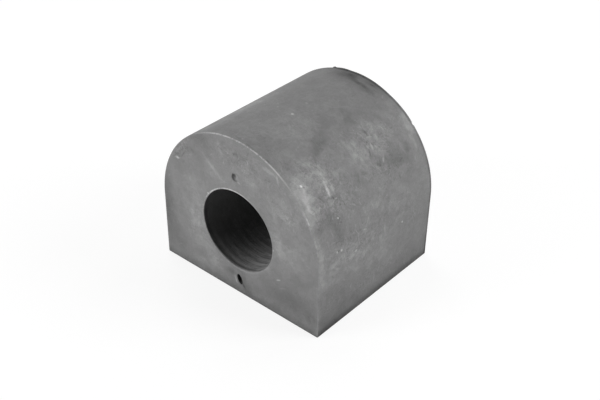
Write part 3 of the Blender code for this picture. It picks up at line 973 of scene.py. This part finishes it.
def rubber():
    material = bpy.data.materials.new("worn_grey_rubber")
    material.use_nodes = True
    nodes = Shading(material)
    shader = material.node_tree.nodes["Principled BSDF"]
    links = material.node_tree.links
    place = nodes.add("TexCoord").outputs["Object"]
    where = find_where(nodes, place)
    lay = lay_flat(nodes, where)

    push = nodes.push(place, *WIDE_PUSH)
    wide_place = nodes.pushed(place, push, PATCH_PUSH)
    thin_place = nodes.pushed(place, nodes.push(place, *FINE_PUSH), STROKE_PUSH)
    clouds = nodes.noise(place, *CLOUDS)
    mottle = nodes.noise(wide_place, *MOTTLE)
    grain = nodes.noise(place, *GRAIN)

    # Patches break up into clouds; among them are painted sheen on the crown, painted light high on the side
    # and painted shade low on the side and along the front's base
    wall_patches = nodes.blend(wide_place, WALL_PATCHES, PATCH_SOFTNESS, WALL_PALER)
    end_patches = nodes.blend(wide_place, END_PATCHES, PATCH_SOFTNESS)
    patches = nodes.mix(where.on_end, wall_patches, end_patches)
    broken = nodes.maths("MULTIPLY_ADD", nodes.maths("ADD", clouds, mottle), PATCH_BREAKUP, 1.0)
    tone = nodes.maths("MULTIPLY_ADD", patches, broken, 1.0)
    tone = nodes.maths("MULTIPLY_ADD", clouds, CLOUD_STRENGTH, tone)

    # Scuffed stretches have more mottle, grain and scratches
    scuffed = nodes.blend(wide_place, SCUFFS, PATCH_SOFTNESS, LEAST_SCUFF)
    texture = nodes.maths("MULTIPLY", grain, GRAIN_STRENGTH)
    texture = nodes.maths("MULTIPLY_ADD", mottle, MOTTLE_STRENGTH, texture)
    bent = nodes.pushed(lay, push, SCRATCH_PUSH)
    for cell, half_length, half_width, change in SCRATCHES:
        hairs = nodes.scratches(bent, cell * MM, half_length * MM, half_width * MM)
        texture = nodes.maths("MULTIPLY_ADD", hairs, change, texture)
    tone = nodes.maths("MULTIPLY_ADD", texture, scuffed, tone)

    # Strokes, among them painted sheen on the crown's left, painted shade and highlight round the upper pin
    # mark, and painted light and shade beside the bore's mouth and near the base
    tone = nodes.blend(thin_place, STROKES, STROKE_SOFTNESS, tone)
    # Specks, with painted shadows beside some pale grains
    specks_and_shadows = 0.0
    for mark, half_width, change in SPECKS_AND_SHADOWS:
        mask = nodes.speck(thin_place, mark, half_width * MM, SPECK_SOFTNESS)
        specks_and_shadows = nodes.maths("MULTIPLY_ADD", mask, change, specks_and_shadows)
    tone = nodes.maths("ADD", tone, specks_and_shadows)

    # Painted shade at the foot, less of it on the ends, and along the back and base edges
    for edge, far, close, on_wall_change, on_end_change in PAINTED_EDGE_SHADE:
        change = nodes.maths("MULTIPLY_ADD", where.on_end, on_end_change - on_wall_change, on_wall_change)
        tone = nodes.maths("MULTIPLY_ADD", nodes.remap(where.gaps[edge], far * MM, close * MM), change, tone)

    # The thin worn line on the front rim and the bore's lip is also painted highlight
    tone = wear_and_highlight_front(nodes, where, clouds, mottle, tone)
    # Painted shade fills the deep slit, darkening it nearly to black
    slit_shade = nodes.blend(place, SLIT_PAINTED_SHADE, SLIT_SHADE_SOFTNESS)
    tone = nodes.maths("MULTIPLY", tone, nodes.maths("SUBTRACT", 1.0, slit_shade))
    # The bore: painted shade on its far side, and dust with painted light at the lower right
    share, in_bore = shade_bore(nodes, where)
    grey = nodes.maths("MULTIPLY", nodes.maths("MULTIPLY", tone, share), RUBBER_GREY)
    grey = nodes.maths("MAXIMUM", grey, DARKEST_GREY)
    colour = nodes.add("CombineColor", (grey, grey, grey)).outputs[0]
    links.new(colour, shader.inputs["Base Color"])

    rough = nodes.remap(tone, *TONE_ROUGHNESS)
    dull = nodes.maths("MULTIPLY", nodes.maths("MAXIMUM", slit_shade, in_bore), DULL_ROUGHNESS)
    rough = nodes.maths("MAXIMUM", rough, dull)
    links.new(rough, shader.inputs["Roughness"])
    height = nodes.maths("MULTIPLY_ADD", mottle, MOTTLE_HEIGHT, grain)
    height = nodes.maths("ADD", nodes.maths("MINIMUM", specks_and_shadows, 1.0), height)
    bump = nodes.add("Bump")
    bump.inputs["Distance"].default_value = BUMP_HEIGHT
    bump.inputs["Strength"].default_value = 1.0
    links.new(height, bump.inputs["Height"])
    links.new(bump.outputs[0], shader.inputs["Normal"])
    return material


# Floor: its own grey, and for the camera alone a darker one and a glow, which look white and keep a shadow
FLOOR_SIZE = 6.0
FLOOR_GREY = 0.8
FLOOR_SEEN_GREY = 0.2
FLOOR_SEEN_GLOW = 0.86


def make_stage():
    bpy.ops.mesh.primitive_plane_add(size=FLOOR_SIZE, location=(0, 0, 0))
    floor = bpy.context.object
    floor.name = "floor"
    material = bpy.data.materials.new("white_floor")
    material.use_nodes = True
    material.node_tree.nodes.clear()
    nodes = Shading(material)
    seen = nodes.add("LightPath").outputs["Is Camera Ray"]
    greys = [(grey, grey, grey, 1) for grey in (FLOOR_GREY, FLOOR_SEEN_GREY)]
    # A Mix node's colours come after its numbers and its vectors, going in and coming out
    colour = nodes.add("Mix", (seen, None, None, None, None, None, *greys), data_type="RGBA").outputs[2]
    matte = nodes.add("BsdfDiffuse", (colour,)).outputs[0]
    strength = nodes.maths("MULTIPLY", seen, FLOOR_SEEN_GLOW)
    glow = nodes.add("Emission", (None, strength)).outputs[0]
    both = nodes.add("AddShader", (matte, glow)).outputs[0]
    nodes.add("OutputMaterial", (both,))
    floor.data.materials.append(material)


WORLD_STRENGTH = 0.06
LAMP_AIM = Vector((0, 0, 0.03))
LAMP_DISTANCE = 0.8
LAMP_SIZE = 0.45
# Soft boxes round the block: degrees round from the front towards +X, degrees up, and watts
LAMPS = (
    ("front_left_box", -30, 12, 4.8),
    ("right_box", 120, 35, 2.7),
    ("low_right_box", 120, 12, 1.1),
    ("high_left_box", -120, 60, 1.4),
    ("low_left_box", -120, 12, 0.6),
    ("back_box", 170, 45, 0.8),
)


def make_lights():
    world = bpy.data.worlds.new("studio")
    world.use_nodes = True
    background = world.node_tree.nodes["Background"]
    background.inputs["Color"].default_value = (1, 1, 1, 1)
    background.inputs["Strength"].default_value = WORLD_STRENGTH
    bpy.context.scene.world = world
    for name, around, up, power in LAMPS:
        turn, rise = math.radians(around), math.radians(up)
        way = Vector((math.sin(turn) * math.cos(rise), -math.cos(turn) * math.cos(rise), math.sin(rise)))
        data = bpy.data.lights.new(name, "AREA")
        data.shape = "DISK"
        data.size = LAMP_SIZE
        data.energy = power
        lamp = bpy.data.objects.new(name, data)
        bpy.context.scene.collection.objects.link(lamp)
        aim = (-way).to_track_quat("-Z", "Y").to_matrix().to_4x4()
        lamp.matrix_world = Matrix.Translation(LAMP_AIM + way * LAMP_DISTANCE) @ aim


bpy.context.scene.view_settings.view_transform = "Standard"
make_camera()
make_stage()
make_lights()
skin = make_skin(rubber())
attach(skin, "root")
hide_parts(BLOCK)
